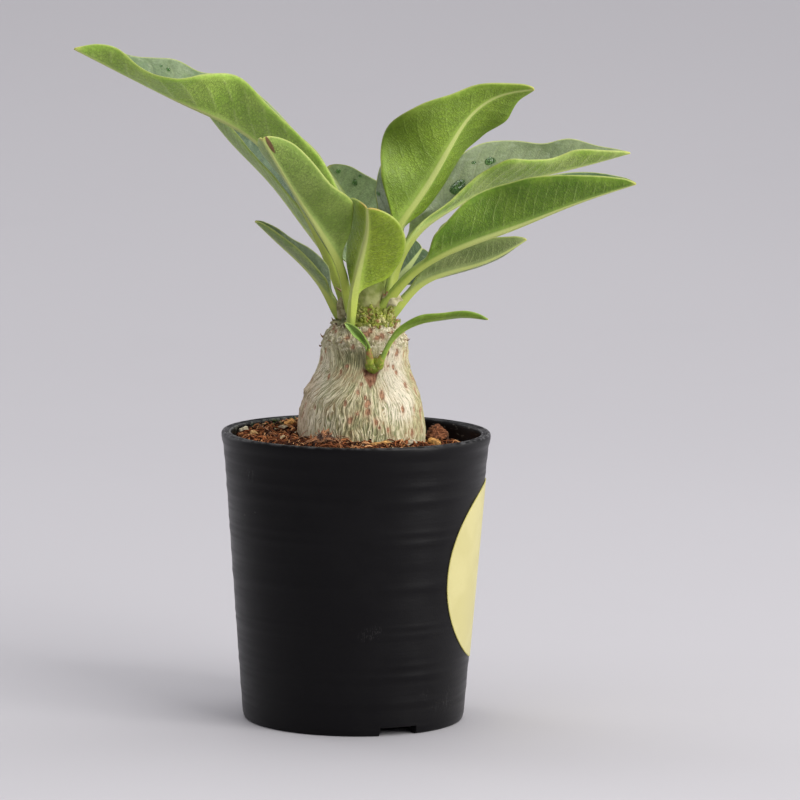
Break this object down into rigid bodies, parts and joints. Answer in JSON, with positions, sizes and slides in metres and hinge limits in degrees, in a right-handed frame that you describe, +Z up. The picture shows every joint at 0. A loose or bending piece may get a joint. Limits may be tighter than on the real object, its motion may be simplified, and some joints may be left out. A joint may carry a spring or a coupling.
{
  "type": "potted plant",
  "caption": "Young pachypodium with a swollen silvery trunk and broad green leaves, in a tapered black plastic pot with a blank yellow sticker.",
  "frame": {"origin": "centre of the pot's foot, in the plane that it stands on", "axes": "+Z up along the pot's axis, -Y towards the viewer's side, +X to the viewer's right"},
  "size_m": [0.1831, 0.0969, 0.224],
  "materials": {
    "pot_plastic": "satin black moulded plastic",
    "label_paper": "satin yellow sticker",
    "potting_mix": "coir, bark dust and pumice grains",
    "caudex_bark": "matt silvery green bark with raised ridges",
    "side_shoot_green": "matt green stub",
    "leaf": "semi-gloss leaf, paler and bluer on the upper side",
    "shoot_leaf": "semi-gloss young leaf",
    "coco_chunk": "fibrous coconut husk chunk",
    "pumice": "rough pumice grain"
  },
  "bodies": {
    "root": {"pot": "pot_plastic", "label": "label_paper", "potting_mix": "potting_mix", "caudex": "caudex_bark", "side_shoot": "side_shoot_green", "leaf_01": "leaf", "leaf_02": "leaf", "leaf_03": "leaf", "leaf_04": "leaf", "leaf_05": "leaf", "leaf_06": "leaf", "leaf_07": "leaf", "leaf_08": "leaf", "leaf_09": "leaf", "leaf_10": "leaf", "leaf_11": "leaf", "leaf_12": "leaf", "shoot_leaf_1": "shoot_leaf", "shoot_leaf_2": "shoot_leaf", "coco_chunk": "coco_chunk", "pumice_1": "pumice", "pumice_2": "pumice", "pumice_3": "pumice", "pumice_4": "pumice", "pumice_5": "pumice", "pumice_6": "pumice", "pumice_7": "pumice", "pumice_8": "pumice", "pumice_9": "pumice"}
  },
  "joints": []
}
